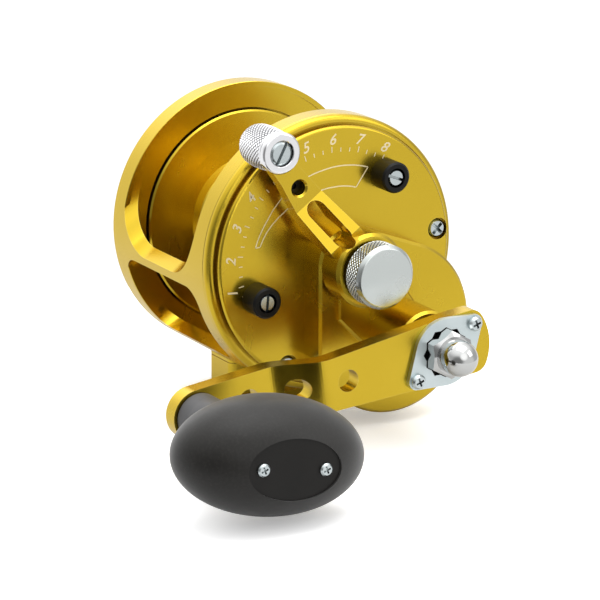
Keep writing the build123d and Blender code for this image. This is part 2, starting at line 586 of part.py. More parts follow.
# ---- pinion and drag plate -------------------------------------------------------------------
drag_plate = tube(DRAG_PLATE_R, PINION_SLEEVE_R, DRAG_PLATE_LEFT_X, DRAG_PLATE_RIGHT_X)
for i in range(8):
    y, z = polar(20.5, 45.0 * i)
    drag_plate -= rod(2.2, DRAG_PLATE_LEFT_X - 1, DRAG_PLATE_RIGHT_X + 1, y, z)
put("drag_plate", drag_plate)
line_of_centres = degrees(acos(HANDLE_Y / CENTRE_DISTANCE))
pinion_phase = -line_of_centres + 180.0 / PINION_TEETH
pinion = along_x(involute_gear(PINION_TEETH, pinion_phase), *PINION_TEETH_X)
pinion = pinion + rod(PINION_SLEEVE_R, DRAG_PLATE_LEFT_X, PINION_TEETH_X[0])
pinion = pinion + rod(PINION_JOURNAL_R, PINION_TEETH_X[1], PINION_RIGHT_X)
pinion -= rod(PINION_BORE_R, DRAG_PLATE_LEFT_X - 1, PINION_RIGHT_X + 1)
put("pinion_gear", pinion)

# ---- main shaft and drag springs -------------------------------------------------------------
shaft = turned([
    (SHAFT_LEFT_X, 0), (SHAFT_LEFT_X, SHAFT_R - EDGE), (SHAFT_LEFT_X + EDGE, SHAFT_R),
    (SHAFT_RIGHT_X - EDGE, SHAFT_R), (SHAFT_RIGHT_X, SHAFT_R - EDGE), (SHAFT_RIGHT_X, 0)])
put("main_shaft", shaft)
springs = []
for i in range(3):
    x = 48.0 + 0.8 * i
    springs.append(turned([(x, SHAFT_R), (x + 0.35, 5.5), (x + 0.7, 5.5), (x + 0.35, SHAFT_R)]))
put("drag_springs", *springs)

# ---- handle shaft, gear, ratchet -------------------------------------------------------------
arm_front_x = ARM_BACK_X + ARM_T
shaft_body = turned([
    (RING_OUT_X + 0.3, 0), (RING_OUT_X + 0.3, HANDLE_JOURNAL_R), (POCKET_X + 0.4, HANDLE_JOURNAL_R),
    (POCKET_X + 0.4, HANDLE_SHAFT_R), (58.3, HANDLE_SHAFT_R), (58.3, 6.2), (ARM_BACK_X, 6.2),
    (ARM_BACK_X, 0)], HANDLE_Y, HANDLE_Z)
flats = Rot(0, 0, ARM_ANGLE) * Rectangle(2 * HANDLE_SHAFT_R + 1, 2 * HANDLE_FLAT)
drive_section = Circle(HANDLE_SHAFT_R) & flats
handle_shaft = shaft_body + along_x(drive_section, ARM_BACK_X - 0.5, arm_front_x, HANDLE_Y, HANDLE_Z)
handle_shaft = handle_shaft + rod(
    NUT_BORE_R, arm_front_x - 0.5, arm_front_x + NUT_THREAD_LENGTH, HANDLE_Y, HANDLE_Z)
put("handle_shaft", handle_shaft)

gear = along_x(involute_gear(GEAR_TEETH, 180.0 - line_of_centres), *GEAR_X, HANDLE_Y, HANDLE_Z)
gear -= rod(HANDLE_SHAFT_R, GEAR_X[0] - 1, GEAR_X[1] + 1, HANDLE_Y, HANDLE_Z)
for side in (-1, 1):
    face_x = GEAR_X[0] if side < 0 else GEAR_X[1]
    gear -= tube(16.2, 7.4, face_x - 1.0, face_x + 1.0, HANDLE_Y, HANDLE_Z)
for i in range(6):
    y, z = polar(11.8, 60.0 * i, HANDLE_Y, HANDLE_Z)
    gear -= rod(2.6, GEAR_X[0] - 1, GEAR_X[1] + 1, y, z)
put("drive_gear", gear)
ratchet = along_x(saw_wheel(RATCHET_R, RATCHET_ROOT_R, RATCHET_TEETH), *RATCHET_X, HANDLE_Y, HANDLE_Z)
put("ratchet_wheel", ratchet - rod(HANDLE_SHAFT_R, RATCHET_X[0] - 1, RATCHET_X[1] + 1, HANDLE_Y, HANDLE_Z))

# two anti-reverse dogs, held just clear of the ratchet while the handle winds forward
for name, angle in (("dog_front", DOG_ANGLES[0]), ("dog_rear", DOG_ANGLES[1])):
    outline = make_face(Polyline((-2.6, -2.4), (2.6, -2.4), (2.2, 2.0), (6.0, 4.9), (5.4, 6.0), (-1.6, 2.6),
                                 close=True))
    y, z = polar(DOG_PIVOT_R, angle, HANDLE_Y, HANDLE_Z)
    dog = along_x(Rot(0, 0, angle + 90) * outline, 28.8, 30.6, y, z)
    put(name, dog - rod(DOG_POST_R + RUNNING_FIT, 28.0, 31.0, y, z))

# ---- handle arm: flat bar with an inward crank past the drag knob ----------------------------
arm_plan = make_face(Polyline(
    (-ARM_END_R - 1, -ARM_HUB_HALF), (0, -ARM_HUB_HALF), (ARM_BEND_START, -ARM_NECK_HALF),
    (ARM_LENGTH, -ARM_TIP_R), (ARM_LENGTH, ARM_TIP_R), (ARM_BEND_START, ARM_NECK_HALF),
    (0, ARM_HUB_HALF), (-ARM_END_R - 1, ARM_HUB_HALF), close=True))
inner_end = Circle(ARM_END_R) + Pos(ARM_LENGTH, 0) * Rectangle(2 * ARM_LENGTH, 4 * ARM_HUB_HALF)
arm_plan = arm_plan & inner_end
arm_plan = fillet(arm_plan.vertices().sort_by(Axis.X)[:2], ARM_CORNER)
arm_plan = arm_plan + Pos(ARM_LENGTH, 0) * Circle(ARM_TIP_R)
for hole_at in ARM_HOLES:
    arm_plan -= Pos(hole_at, 0) * Circle(ARM_HOLE_R)
arm_plan -= Pos(ARM_LENGTH, 0) * Circle(SPINDLE_R)


def arm_side(x):
    """One face line of the arm as (x, distance along the arm) points, curving inwards at the crank."""
    line = [(x, -ARM_END_R - 5)]
    for i in range(BEND_STEPS + 1):
        t = i / BEND_STEPS
        along = ARM_BEND_START + (ARM_BEND_END - ARM_BEND_START) * t
        line.append((x - ARM_DROP * (1 - cos(pi * t)) / 2, along))
    line.append((x - ARM_DROP, ARM_LENGTH + ARM_END_R))
    return line


side_loop = arm_side(ARM_BACK_X) + list(reversed(arm_side(arm_front_x)))
arm_profile = extrude(make_face(Polyline(*side_loop, close=True)), amount=ARM_END_R, both=True)
arm = along_x(arm_plan, ARM_BACK_X - 2 * ARM_DROP, arm_front_x + 1, 0, 0) & arm_profile
arm = Pos(0, HANDLE_Y, HANDLE_Z) * Rot(ARM_ANGLE, 0, 0) * arm
arm -= along_x(drive_section, ARM_BACK_X - 1, arm_front_x + 1, HANDLE_Y, HANDLE_Z)
arm -= rod(WASHER_SEAT_R, arm_front_x - WASHER_SEAT_DEPTH, arm_front_x + 1, HANDLE_Y, HANDLE_Z)
put("nut_washer", tube(
    WASHER_SEAT_R - 0.1, HANDLE_SHAFT_R + 0.1, arm_front_x - WASHER_SEAT_DEPTH, arm_front_x,
    HANDLE_Y, HANDLE_Z))

# ---- lock plate, its screws and the handle nut -----------------------------------------------
lock_front_x = arm_front_x + LOCK_T
tip_1 = polar(LOCK_SCREW_OFFSET, LOCK_ANGLE, 0, 0)
tip_2 = polar(LOCK_SCREW_OFFSET, LOCK_ANGLE + 180, 0, 0)
lock_edges = Circle(LOCK_R).edges() + (Pos(*tip_1) * Circle(LOCK_TIP_R)).edges()
lock_edges += (Pos(*tip_2) * Circle(LOCK_TIP_R)).edges()
hex_12 = RegularPolygon(LOCK_HOLE_R, 6) + Rot(0, 0, 30) * RegularPolygon(LOCK_HOLE_R, 6)
lock_plate = along_x(make_hull(lock_edges) - hex_12, arm_front_x, lock_front_x, HANDLE_Y, HANDLE_Z)
lock_screws = []
for tip in (tip_1, tip_2):
    y, z = HANDLE_Y + tip[0], HANDLE_Z + tip[1]
    lock_plate -= rod(1.1, arm_front_x - 1, lock_front_x + 1, y, z)
    arm -= rod(1.1, arm_front_x - 3.4, arm_front_x + 1, y, z)
    screw = pan_head(2.0, 1.5, lock_front_x, y, z) + rod(1.1, arm_front_x - 3.2, lock_front_x, y, z)
    lock_screws.append(screw - cross_slot(1.2, 1.2, lock_front_x + 1.5, y, z, 20))
put("handle_arm", arm)
put("lock_plate", lock_plate)
put("lock_plate_screws", *lock_screws)

nut_r = NUT_FLATS / sqrt(3)
nut_top_x = arm_front_x + NUT_HEX_T
nut = along_x(RegularPolygon(nut_r, 6, rotation=30), arm_front_x, nut_top_x, HANDLE_Y, HANDLE_Z)
nut &= turned([
    (arm_front_x, 0), (arm_front_x, nut_r - 0.5), (arm_front_x + 0.5, nut_r + 0.1),
    (nut_top_x - 1.1, nut_r + 0.1), (nut_top_x, nut_r - 1.4), (nut_top_x, 0)], HANDLE_Y, HANDLE_Z)
nut = nut + rod(NUT_DOME_R, nut_top_x - 1, NUT_DOME_X, HANDLE_Y, HANDLE_Z)
nut = nut + Pos(NUT_DOME_X, HANDLE_Y, HANDLE_Z) * Sphere(NUT_DOME_R)
put("handle_nut", nut - rod(
    NUT_BORE_R, arm_front_x - 1, arm_front_x + NUT_THREAD_LENGTH, HANDLE_Y, HANDLE_Z))

# ---- handle knob on its spindle --------------------------------------------------------------
knob_y, knob_z = polar(ARM_LENGTH, ARM_ANGLE, HANDLE_Y, HANDLE_Z)
arm_low_x = ARM_BACK_X - ARM_DROP
arm_low_front_x = arm_front_x - ARM_DROP
spindle = turned([
    (arm_low_x - 1.3, 0), (arm_low_x - 1.3, 3.8), (arm_low_x - 0.9, 4.4), (arm_low_x, 4.4),
    (arm_low_x, SPINDLE_R),
    (arm_low_front_x, SPINDLE_R), (arm_low_front_x, 4.6), (arm_low_front_x + 0.6, 4.6),
    (arm_low_front_x + 0.6, SPINDLE_R), (CLIP_X[0], SPINDLE_R), (CLIP_X[0], 2.3), (CLIP_X[1], 2.3),
    (CLIP_X[1], SPINDLE_R),
    (SPINDLE_END_X, SPINDLE_R), (SPINDLE_END_X, 0)], knob_y, knob_z)
put("knob_spindle", spindle)
clip = tube(4.4, 2.3, *CLIP_X, knob_y, knob_z) - Pos(CLIP_X[0], knob_y, knob_z - 4) * Box(2, 3.0, 6)
put("spindle_clip", clip)

neck = turned([
    (NECK_X, KNOB_BEARING_R), (NECK_X, NECK_R - 0.4), (NECK_X + 0.4, NECK_R), (64.0, NECK_R), (72.0, 6.9),
    (77.0, 7.6), (83.0, 7.6), (83.0, 6.2), (NECK_END_X, 6.2), (NECK_END_X, 3.6), (64.6, 3.6),
    (64.6, KNOB_BEARING_R)], knob_y, knob_z)
grip = Pos(KNOB_X, knob_y, knob_z) * Rot(KNOB_TILT, 0, 0) * scale(Sphere(1), by=KNOB_HALF)
grip -= rod(7.6, NECK_X, 83.0, knob_y, knob_z) + rod(6.2, 82.0, NECK_END_X, knob_y, knob_z)
grip -= rod(3.6, NECK_END_X - 1, KNOB_BEARING_X[1][0], knob_y, knob_z)
grip -= rod(KNOB_BEARING_R, KNOB_BEARING_X[1][0], KNOB_COVER_X[0] + 1, knob_y, knob_z)
oval = Rot(0, 0, KNOB_TILT) * Ellipse(*KNOB_COVER_HALF)
grip -= along_x(oval, KNOB_COVER_X[0], KNOB_COVER_X[0] + 9, knob_y, knob_z)
cover = along_x(oval, *KNOB_COVER_X, knob_y, knob_z)
cover_screws = []
for side in (0, 180):
    y, z = polar(KNOB_SCREW_OFFSET, KNOB_TILT + side, knob_y, knob_z)
    cover -= rod(0.9, KNOB_COVER_X[0] - 1, KNOB_COVER_X[1] + 1, y, z)
    grip -= rod(0.9, KNOB_COVER_X[0] - 4.0, KNOB_COVER_X[0] + 1, y, z)
    screw = pan_head(1.7, 1.0, KNOB_COVER_X[1], y, z) + rod(0.9, KNOB_COVER_X[0] - 3.8, KNOB_COVER_X[1], y, z)
    cover_screws.append(screw - cross_slot(1.0, 0.6, KNOB_COVER_X[1] + 1.0, y, z, 20))
put("knob_neck", neck)
put("knob_grip", grip)
put("knob_cover", cover)
put("knob_cover_screws", *cover_screws)
put("knob_bearings",
    *[bearing(KNOB_BEARING_R, SPINDLE_R + RUNNING_FIT, x0, x1, knob_y, knob_z) for x0, x1 in KNOB_BEARING_X])

# ---- drag lever ------------------------------------------------------------------------------
lever_plan = make_face(Polyline(
    (0, -5.6), (LEVER_RAMP_R, -5.35), (LEVER_STEP_R, -4.6), (32.0, -3.5), (LEVER_TIP_AT, -LEVER_TIP_R),
    (LEVER_TIP_AT, LEVER_TIP_R), (32.0, 3.5), (LEVER_STEP_R, 4.6), (LEVER_RAMP_R, 5.35), (0, 5.6),
    close=True))
lever_plan = lever_plan + Circle(LEVER_HUB_R) + Pos(LEVER_TIP_AT, 0) * Circle(LEVER_TIP_R)
lever_plan -= Pos(LEVER_SLOT_AT, 0) * SlotOverall(*LEVER_SLOT)
lever_plan -= Pos(LEVER_HOLE_AT, 0) * Circle(LEVER_HOLE_R)
lever_plan -= Circle(LEVER_BORE_R)
lever_plan -= Pos(LEVER_TIP_AT, 0) * Circle(SCREW_R)
lever_side = [
    (LEVER_BOTTOM_X, 45.0), (LEVER_TOP_X, 45.0), (LEVER_TOP_X, LEVER_STEP_R),
    (LEVER_RAMP_TOP_X, LEVER_RAMP_R), (LEVER_RAMP_TOP_X + 0.5, 10.0),
    (LEVER_HUB_TOP_X - 0.5, 9.6), (LEVER_HUB_TOP_X, 9.1), (LEVER_HUB_TOP_X, -9.4),
    (LEVER_HUB_TOP_X - 0.8, -10.4), (LEVER_HUB_BOTTOM_X, -10.4), (LEVER_HUB_BOTTOM_X, 10.6),
    (LEVER_BOTTOM_X, 13.6)]
lever_profile = extrude(make_face(Polyline(*lever_side, close=True)), amount=12, both=True)
lever = along_x(lever_plan, LEVER_BOTTOM_X - 1, LEVER_HUB_TOP_X + 1, 0, 0) & lever_profile
hub_taper = turned([
    (LEVER_BOTTOM_X - 1, 0), (LEVER_BOTTOM_X - 1, 60), (LEVER_RAMP_TOP_X, 60),
    (LEVER_RAMP_TOP_X, LEVER_HUB_R),
    (LEVER_HUB_TOP_X - 0.8, LEVER_HUB_R), (LEVER_HUB_TOP_X, LEVER_HUB_R - 0.8), (LEVER_HUB_TOP_X, 0)], 0, 0)
lever = lever & hub_taper
lever -= turned([
    (LEVER_TOP_X + 1, 0), (LEVER_TOP_X + 1, LEVER_HOLE_R + LEVER_HOLE_SINK),
    (LEVER_TOP_X, LEVER_HOLE_R + LEVER_HOLE_SINK), (LEVER_TOP_X - LEVER_HOLE_SINK, LEVER_HOLE_R),
    (LEVER_TOP_X - LEVER_HOLE_SINK, 0)], LEVER_HOLE_AT, 0)
lever = Pos(0, 0, AXIS_Z) * Rot(LEVER_ANGLE, 0, 0) * lever
put("drag_lever", lever)
put("lever_cam", tube(LEVER_BORE_R, SHAFT_HOLE_R, CAM_BOSS_X + 0.4, CAM_BOSS_X + 1.4))
hole_y, hole_z = polar(LEVER_HOLE_AT, LEVER_ANGLE)
put("lever_set_screw", rod(LEVER_HOLE_R, LEVER_BOTTOM_X, LEVER_BOTTOM_X + 1.2, hole_y, hole_z)
    - along_x(RegularPolygon(0.9, 6), LEVER_BOTTOM_X + 0.4, LEVER_BOTTOM_X + 2, hole_y, hole_z))

tip_y, tip_z = polar(LEVER_TIP_AT, LEVER_ANGLE)
knob_back_x, knob_front_x = LEVER_KNOB_X
lever_knob = turned([
    (knob_front_x, 0), (knob_front_x, LEVER_KNOB_RING_R - 0.5), (knob_front_x - 0.5, LEVER_KNOB_RING_R),
    (44.4, LEVER_KNOB_RING_R), (44.4, 5.0), (44.0, 5.0), (44.0, 5.35), (41.5, LEVER_KNOB_R - 0.15),
    (39.0, LEVER_KNOB_R), (36.5, LEVER_KNOB_R), (34.0, LEVER_KNOB_R - 0.2), (32.6, 5.2), (31.9, 4.5),
    (knob_back_x, 3.6), (knob_back_x, 0)], tip_y, tip_z)
lever_knob -= lever
seat_x = knob_front_x - LEVER_KNOB_SINK
lever_knob -= rod(LEVER_KNOB_SCREW_R + 0.15, seat_x, knob_front_x + 1, tip_y, tip_z)
lever_knob -= rod(SCREW_R, 33.0, knob_front_x, tip_y, tip_z)
put("lever_knob", lever_knob)
tip_screw = pan_head(LEVER_KNOB_SCREW_R, 1.2, seat_x, tip_y, tip_z) + rod(SCREW_R, 33.4, seat_x, tip_y, tip_z)
put("lever_knob_screw", tip_screw - blade_slot(LEVER_KNOB_SCREW_R, 1.0, 0.9, seat_x + 1.2, tip_y, tip_z, 62))

# ---- drag preset knob ------------------------------------------------------------------------
preset_back_x, preset_front_x = PRESET_X
preset = turned([
    (preset_back_x, SHAFT_R + RUNNING_FIT), (preset_back_x, PRESET_R - 0.6), (preset_back_x + 0.6, PRESET_R),
    (preset_front_x - 0.9, PRESET_R), (preset_front_x, PRESET_R - 0.8), (preset_front_x, 0),
    (SHAFT_RIGHT_X + 0.3, 0), (SHAFT_RIGHT_X + 0.3, SHAFT_R + RUNNING_FIT)])
put("preset_knob", preset)
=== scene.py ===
"""Looks for the lever drag trolling reel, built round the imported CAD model."""

import json
import math

import bmesh
import bpy
from mathutils import Matrix, Vector


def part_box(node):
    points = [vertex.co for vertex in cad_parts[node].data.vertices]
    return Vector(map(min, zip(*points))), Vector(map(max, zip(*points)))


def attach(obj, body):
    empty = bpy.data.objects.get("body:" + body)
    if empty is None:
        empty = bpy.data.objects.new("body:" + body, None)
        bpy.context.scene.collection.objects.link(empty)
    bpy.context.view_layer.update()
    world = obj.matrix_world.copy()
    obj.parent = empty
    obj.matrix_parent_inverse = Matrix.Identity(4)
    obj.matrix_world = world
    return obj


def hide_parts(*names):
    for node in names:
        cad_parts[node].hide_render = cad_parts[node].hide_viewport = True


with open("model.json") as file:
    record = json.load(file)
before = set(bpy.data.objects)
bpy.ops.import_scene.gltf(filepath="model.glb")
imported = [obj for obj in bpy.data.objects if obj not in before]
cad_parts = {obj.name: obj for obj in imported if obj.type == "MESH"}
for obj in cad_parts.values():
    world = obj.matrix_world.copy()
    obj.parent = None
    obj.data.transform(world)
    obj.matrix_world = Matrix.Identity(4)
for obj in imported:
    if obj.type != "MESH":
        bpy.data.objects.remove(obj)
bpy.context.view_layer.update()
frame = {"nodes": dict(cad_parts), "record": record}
nodes = frame["nodes"]

MM = 0.001


def centre(node):
    """Middle of a CAD node's box."""
    low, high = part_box(node)
    return (low + high) / 2


spool_axis = centre("spool")

# ------------------------------------------------------------------------------------
# camera at the photograph's viewing angle
# ------------------------------------------------------------------------------------
AIM_X = 29.0 * MM               # the camera is set from the side plate's rim, on the spool axis
CAM_SWING = math.radians(29.557)
CAM_RISE = math.radians(15.637)
CAM_DISTANCE = 984.137 * MM
CAM_RIGHT = -8.073 * MM         # shifts of the camera across and up, from the line to that point
CAM_UP = -12.663 * MM
CAM_LENS = 219.3
SENSOR = 36.0

look = Vector((
    -math.cos(CAM_SWING) * math.cos(CAM_RISE),
    math.sin(CAM_SWING) * math.cos(CAM_RISE),
    -math.sin(CAM_RISE)))
right = Vector((math.sin(CAM_SWING), math.cos(CAM_SWING), 0))
up = right.cross(look)
aim = Vector((AIM_X, spool_axis.y, spool_axis.z))
eye = aim + right * CAM_RIGHT + up * CAM_UP - look * CAM_DISTANCE

camera_data = bpy.data.cameras.new("camera")
camera_data.lens = CAM_LENS
camera_data.sensor_width = SENSOR
camera_data.clip_start = 0.05
camera_data.clip_end = 50
camera = bpy.data.objects.new("camera", camera_data)
bpy.context.scene.collection.objects.link(camera)
camera.matrix_world = Matrix((
    (right.x, up.x, -look.x, eye.x),
    (right.y, up.y, -look.y, eye.y),
    (right.z, up.z, -look.z, eye.z),
    (0, 0, 0, 1)))
bpy.context.scene.camera = camera
bpy.context.scene.view_settings.view_transform = "Standard"

# ------------------------------------------------------------------------------------
# studio: a tent of soft panels as the world, one overhead softbox and one weaker side light
# ------------------------------------------------------------------------------------
world = bpy.data.worlds.new("studio")
bpy.context.scene.world = world
world.use_nodes = True
wn = world.node_tree.nodes
wl = world.node_tree.links
wn.clear()
w_out = wn.new("ShaderNodeOutputWorld")
w_back = wn.new("ShaderNodeBackground")
direction = wn.new("ShaderNodeTexCoord").outputs["Generated"]


def panel(below, axis, inner, outer, level):
    """Soft round panel of one brightness, centred on a direction; angles in degrees."""
    dot = wn.new("ShaderNodeVectorMath")
    dot.operation = "DOT_PRODUCT"
    dot.inputs[1].default_value = Vector(axis).normalized()
    wl.new(direction, dot.inputs[0])
    mask = wn.new("ShaderNodeMapRange")
    mask.interpolation_type = "SMOOTHSTEP"
    mask.inputs["From Min"].default_value = math.cos(math.radians(outer))
    mask.inputs["From Max"].default_value = math.cos(math.radians(inner))
    wl.new(dot.outputs["Value"], mask.inputs["Value"])
    mix = wn.new("ShaderNodeMix")
    mix.data_type = "FLOAT"
    wl.new(mask.outputs["Result"], mix.inputs[0])
    if below is None:
        mix.inputs[2].default_value = TENT_LEVEL
    else:
        wl.new(below, mix.inputs[2])
    mix.inputs[3].default_value = level
    return mix.outputs[0]


TENT_LEVEL = 0.62
PANELS = [
    ((0.0, 0.0, 1.0), 25, 75, 1.55),             # ceiling
    ((-0.84, -0.05, 0.45), 24, 50, 2.0),         # bright card high on the left, behind
    ((-0.84, -0.48, -0.27), 20, 60, 1.10),       # pale wall low on the left, behind
    ((0.66, -0.74, -0.12), 16, 45, 0.28),        # dark gap beside the camera
    ((0.84, 0.475, -0.27), 22, 48, 0.98),        # what the flat faces mirror
    ((0.875, -0.05, 0.467), 10, 30, 1.75),       # what the lever's ramp mirrors
    ((-0.838, 0.475, -0.27), 22, 50, 1.15),      # white backdrop
]
light_level = None
for axis, inner, outer, level in PANELS:
    light_level = panel(light_level, axis, inner, outer, level)
BACKDROP = 1.15                 # plain white behind the object from every side
seen = wn.new("ShaderNodeLightPath").outputs["Is Camera Ray"]
shown = wn.new("ShaderNodeMix")
shown.data_type = "FLOAT"
wl.new(seen, shown.inputs[0])
wl.new(light_level, shown.inputs[2])
shown.inputs[3].default_value = BACKDROP
wl.new(shown.outputs[0], w_back.inputs["Color"])
wl.new(w_back.outputs[0], w_out.inputs[0])


def softbox(name, place, target, size, power):
    """Area light at a place, turned to a target."""
    data = bpy.data.lights.new(name, "AREA")
    data.shape = "RECTANGLE"
    data.size, data.size_y = size
    data.energy = power
    lamp = bpy.data.objects.new(name, data)
    bpy.context.scene.collection.objects.link(lamp)
    lamp.location = place
    lamp.rotation_euler = (Vector(target) - Vector(place)).to_track_quat("-Z", "Y").to_euler()
    return lamp


softbox("top_softbox", (0.15, 0.1, 1.1), (0, 0, 0.03), (0.9, 0.9), 6.0)
softbox("side_softbox", (0.8, 0.9, 0.7), (0, 0, 0.03), (0.7, 0.7), 2.0)

# ------------------------------------------------------------------------------------
# floor: a round white sheet on a light box, duller in the metal's reflections
# ------------------------------------------------------------------------------------
FLOOR_X = 0.03
FLOOR_R = 0.15
FLOOR_SIDES = 96
FLOOR_ROUGHNESS = 0.9
FLOOR_WHITE = 0.95
FLOOR_MIRRORED = 0.60           # its tone for everything but the camera
FLOOR_GLOW = 0.30
floor_mesh = bpy.data.meshes.new("floor")
floor_mesh.from_pydata(
    [(FLOOR_X + FLOOR_R * math.cos(2 * math.pi * i / FLOOR_SIDES),
      FLOOR_R * math.sin(2 * math.pi * i / FLOOR_SIDES), 0) for i in range(FLOOR_SIDES)],
    [], [tuple(range(FLOOR_SIDES))])
floor = bpy.data.objects.new("floor", floor_mesh)
bpy.context.scene.collection.objects.link(floor)
floor_mat = bpy.data.materials.new("pale_floor")
floor_mat.use_nodes = True
floor_bsdf = floor_mat.node_tree.nodes["Principled BSDF"]
floor_links = floor_mat.node_tree.links
floor_seen = floor_mat.node_tree.nodes.new("ShaderNodeLightPath").outputs["Is Camera Ray"]
floor_tone = floor_mat.node_tree.nodes.new("ShaderNodeMix")
floor_tone.data_type = "RGBA"
floor_links.new(floor_seen, floor_tone.inputs[0])
floor_tone.inputs[6].default_value = (FLOOR_MIRRORED, FLOOR_MIRRORED, FLOOR_MIRRORED, 1)
floor_tone.inputs[7].default_value = (FLOOR_WHITE, FLOOR_WHITE, FLOOR_WHITE, 1)
floor_links.new(floor_tone.outputs[2], floor_bsdf.inputs["Base Color"])
floor_bsdf.inputs["Roughness"].default_value = FLOOR_ROUGHNESS
floor_bsdf.inputs["Specular IOR Level"].default_value = 0.0
floor_bsdf.inputs["Emission Color"].default_value = (1, 1, 1, 1)
floor_glow = floor_mat.node_tree.nodes.new("ShaderNodeMath")
floor_glow.operation = "MULTIPLY"
floor_glow.inputs[1].default_value = FLOOR_GLOW
floor_links.new(floor_seen, floor_glow.inputs[0])
floor_links.new(floor_glow.outputs[0], floor_bsdf.inputs["Emission Strength"])
floor_mesh.materials.append(floor_mat)


# ------------------------------------------------------------------------------------
# materials
# ------------------------------------------------------------------------------------
def mix_colour(tree, fac, a, b, blend="MIX"):
    """Colour mix node; each of fac, a and b is a socket or a plain value."""
    mix = tree.nodes.new("ShaderNodeMix")
    mix.data_type = "RGBA"
    mix.blend_type = blend
    for socket, value in ((mix.inputs[0], fac), (mix.inputs[6], a), (mix.inputs[7], b)):
        if hasattr(value, "is_output"):
            tree.links.new(value, socket)
        else:
            socket.default_value = value
    return mix.outputs[2]


def noise(tree, coord, scale, detail=3.0, roughness=0.5):
    """Noise texture at a place."""
    tex = tree.nodes.new("ShaderNodeTexNoise")
    tex.inputs["Scale"].default_value = scale
    tex.inputs["Detail"].default_value = detail
    tex.inputs["Roughness"].default_value = roughness
    tree.links.new(coord, tex.inputs["Vector"])
    return tex.outputs["Fac"]


def spread(tree, value, low, high, from_low=0.3, from_high=0.7):
    """Map a texture's value to a range."""
    node = tree.nodes.new("ShaderNodeMapRange")
    node.inputs["From Min"].default_value = from_low
    node.inputs["From Max"].default_value = from_high
    node.inputs["To Min"].default_value = low
    node.inputs["To Max"].default_value = high
    tree.links.new(value, node.inputs["Value"])
    return node.outputs["Result"]


EDGE_R = 0.22 * MM              # width of the lighter line along an edge, a painted highlight that also stands for wear
EDGE_SAMPLES = 4


def edge_mask(tree):
    """1 on convex or concave edges, 0 on flat ground, from the bevelled normal; it places the painted
    edge highlight and wear.
    """
    bevel = tree.nodes.new("ShaderNodeBevel")
    bevel.samples = EDGE_SAMPLES
    bevel.inputs["Radius"].default_value = EDGE_R
    geometry = tree.nodes.new("ShaderNodeNewGeometry")
    dot = tree.nodes.new("ShaderNodeVectorMath")
    dot.operation = "DOT_PRODUCT"
    tree.links.new(bevel.outputs[0], dot.inputs[0])
    tree.links.new(geometry.outputs["Normal"], dot.inputs[1])
    return spread(tree, dot.outputs["Value"], 1.0, 0.0, 0.75, 0.99)


EDGE_AMOUNT = 0.5               # how far an edge goes to its lighter colour, a painted highlight that also stands for wear
CREVICE = 1.2 * MM              # reach of the painted shade in narrow gaps
CREVICE_SAMPLES = 12
CREVICE_SHADE_TONE = 0.08             # painted shade is the dark colour times this
# near-black painted shade laid into the knurl grooves
GROOVE_SHADE_COLOUR = (0.02, 0.021, 0.022, 1)
GRAIN_HEIGHT = 0.02 * MM


def material(name, colour, dark, metallic, rough, *, rough_spread=0.06, grain=900.0, bump=0.05, edge=None,
             coat=0.0, coat_rough=0.2, specular=0.5, cloud=60.0, speck=None, crevice_dark=0.85,
             groove_shade=0.0, sheen=0.0):
    """Procedural finish: clouded colour, fine grain, edges lighter as wear and painted highlight, painted
    shade in gaps and cuts.
    """
    mat = bpy.data.materials.new(name)
    mat.use_nodes = True
    tree = mat.node_tree
    bsdf = tree.nodes["Principled BSDF"]
    coord = tree.nodes.new("ShaderNodeTexCoord").outputs["Object"]
    clouds = spread(tree, noise(tree, coord, cloud, 4.0), 0.0, 1.0)
    base = mix_colour(tree, clouds, (*dark, 1), (*colour, 1))
    fine_grain = noise(tree, coord, grain, 2.0, 0.6)
    if speck:
        base = mix_colour(tree, spread(tree, fine_grain, 0.0, 0.5, 0.45, 0.75), base, (*speck, 1))
    # painted highlight, partly wear: convex and concave edges go towards a lighter edge colour
    if edge:
        scaled = tree.nodes.new("ShaderNodeMath")
        scaled.operation = "MULTIPLY"
        scaled.inputs[1].default_value = EDGE_AMOUNT
        tree.links.new(edge_mask(tree), scaled.inputs[0])
        base = mix_colour(tree, scaled.outputs[0], base, (*edge, 1))
    # painted shade: ambient occlusion darkens the colour in gaps, corners and recesses
    occlusion_shade = tree.nodes.new("ShaderNodeAmbientOcclusion")
    occlusion_shade.samples = CREVICE_SAMPLES
    occlusion_shade.inputs["Distance"].default_value = CREVICE
    shade = spread(tree, occlusion_shade.outputs["AO"], crevice_dark, 0.0, 0.10, 0.62)
    base = mix_colour(tree, shade, base, (*[CREVICE_SHADE_TONE * channel for channel in dark], 1))
    # painted shade: knurl grooves darkened by the depth of their cut
    if groove_shade:
        cut = tree.nodes.new("ShaderNodeAttribute")
        cut.attribute_name = "groove"
        depth = spread(tree, cut.outputs["Fac"], 0.0, groove_shade, 0.15, 0.75)
        base = mix_colour(tree, depth, base, GROOVE_SHADE_COLOUR)
    tree.links.new(base, bsdf.inputs["Base Color"])
    bsdf.inputs["Metallic"].default_value = metallic
    tree.links.new(
        spread(tree, noise(tree, coord, cloud * 3, 3.0), rough - rough_spread, rough + rough_spread),
        bsdf.inputs["Roughness"])
    bsdf.inputs["Specular IOR Level"].default_value = specular
    bsdf.inputs["Coat Weight"].default_value = coat
    bsdf.inputs["Coat Roughness"].default_value = coat_rough
    bsdf.inputs["Sheen Weight"].default_value = sheen
    relief = tree.nodes.new("ShaderNodeBump")
    relief.inputs["Strength"].default_value = bump
    relief.inputs["Distance"].default_value = GRAIN_HEIGHT
    tree.links.new(fine_grain, relief.inputs["Height"])
    tree.links.new(relief.outputs[0], bsdf.inputs["Normal"])
    return mat


GOLD = (0.620, 0.435, 0.033)
GOLD_DARK = (0.585, 0.405, 0.028)
